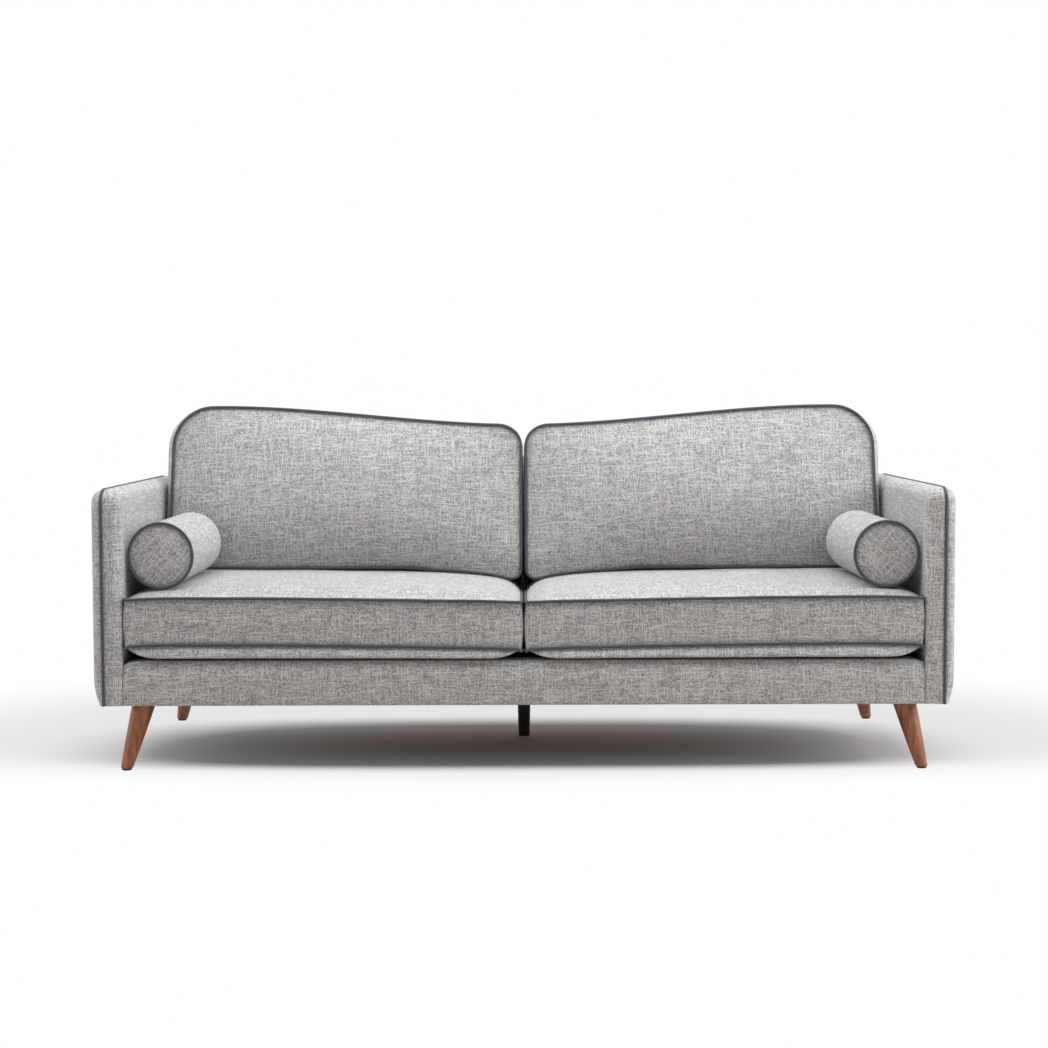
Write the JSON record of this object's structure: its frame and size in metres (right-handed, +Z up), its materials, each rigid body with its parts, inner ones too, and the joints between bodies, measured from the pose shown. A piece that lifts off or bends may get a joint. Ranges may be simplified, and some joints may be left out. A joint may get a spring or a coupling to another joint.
{
  "type": "sofa",
  "caption": "Sofa with slim upright arms, loose welted seat and back cushions, round bolsters, a sprung timber base and splayed turned legs.",
  "frame": {"origin": "on the floor, at the middle of the sofa's box", "axes": "+X to the right of someone facing the sofa, -Y out of its front, +Z up"},
  "size_m": [2, 0.8294, 0.8536],
  "materials": {
    "tweed": "matte",
    "piping": "matte",
    "walnut": "satin",
    "black_wood": "satin",
    "pine": "matte",
    "plywood": "matte",
    "spring_steel": "satin",
    "webbing": "matte",
    "lining": "matte",
    "glide": "matte"
  },
  "bodies": {
    "frame": {"front_border": "tweed", "inside_back": "tweed", "outside_back": "tweed", "arm_cover_left": "tweed", "arm_cover_right": "tweed", "arm_welt_left": "piping", "arm_welt_right": "piping", "leg_front_left": "walnut", "leg_rear_left": "walnut", "leg_front_right": "walnut", "leg_rear_right": "walnut", "centre_leg": "black_wood", "front_rail": "pine", "rear_rail": "pine", "centre_rail": "pine", "back_top_rail": "pine", "back_post_left": "pine", "back_post_centre": "pine", "back_post_right": "pine", "end_rail_left": "pine", "corner_block_front_left": "pine", "corner_block_rear_left": "pine", "end_rail_right": "pine", "corner_block_front_right": "pine", "corner_block_rear_right": "pine", "arm_panel_left": "plywood", "arm_panel_right": "plywood", "seat_spring_left_1": "spring_steel", "seat_spring_left_2": "spring_steel", "seat_spring_left_3": "spring_steel", "seat_spring_right_1": "spring_steel", "seat_spring_right_2": "spring_steel", "seat_spring_right_3": "spring_steel", "back_webbing_low": "webbing", "back_webbing_middle": "webbing", "back_webbing_high": "webbing", "seat_deck": "lining", "dust_cover": "lining", "glide_front_left": "glide", "glide_rear_left": "glide", "glide_front_right": "glide", "glide_rear_right": "glide"},
    "seat_left": {"seat_cushion_left": "tweed", "seat_welt_top_left": "piping", "seat_welt_bottom_left": "piping"},
    "back_left": {"back_cushion_left": "tweed", "back_welt_front_left": "piping", "back_welt_rear_left": "piping"},
    "bolster_left": {"bolster_left": "tweed", "bolster_welt_front_left": "piping", "bolster_welt_rear_left": "piping"},
    "seat_right": {"seat_cushion_right": "tweed", "seat_welt_top_right": "piping", "seat_welt_bottom_right": "piping"},
    "back_right": {"back_cushion_right": "tweed", "back_welt_front_right": "piping", "back_welt_rear_right": "piping"},
    "bolster_right": {"bolster_right": "tweed", "bolster_welt_front_right": "piping", "bolster_welt_rear_right": "piping"}
  },
  "joints": [
    {"name": "seat_left_slide", "type": "slide", "parent": "frame", "child": "seat_left", "axis": [0, -1, 0], "range_m": [0, 0.7]},
    {"name": "back_left_lift", "type": "slide", "parent": "frame", "child": "back_left", "axis": [0, 0.1392, 0.9903], "range_m": [0, 0.5]},
    {"name": "bolster_left_lift", "type": "slide", "parent": "seat_left", "child": "bolster_left", "axis": [0, 0, 1], "range_m": [0, 0.35]},
    {"name": "seat_right_slide", "type": "slide", "parent": "frame", "child": "seat_right", "axis": [0, -1, 0], "range_m": [0, 0.7]},
    {"name": "back_right_lift", "type": "slide", "parent": "frame", "child": "back_right", "axis": [0, 0.1392, 0.9903], "range_m": [0, 0.5]},
    {"name": "bolster_right_lift", "type": "slide", "parent": "seat_right", "child": "bolster_right", "axis": [0, 0, 1], "range_m": [0, 0.35]}
  ]
}
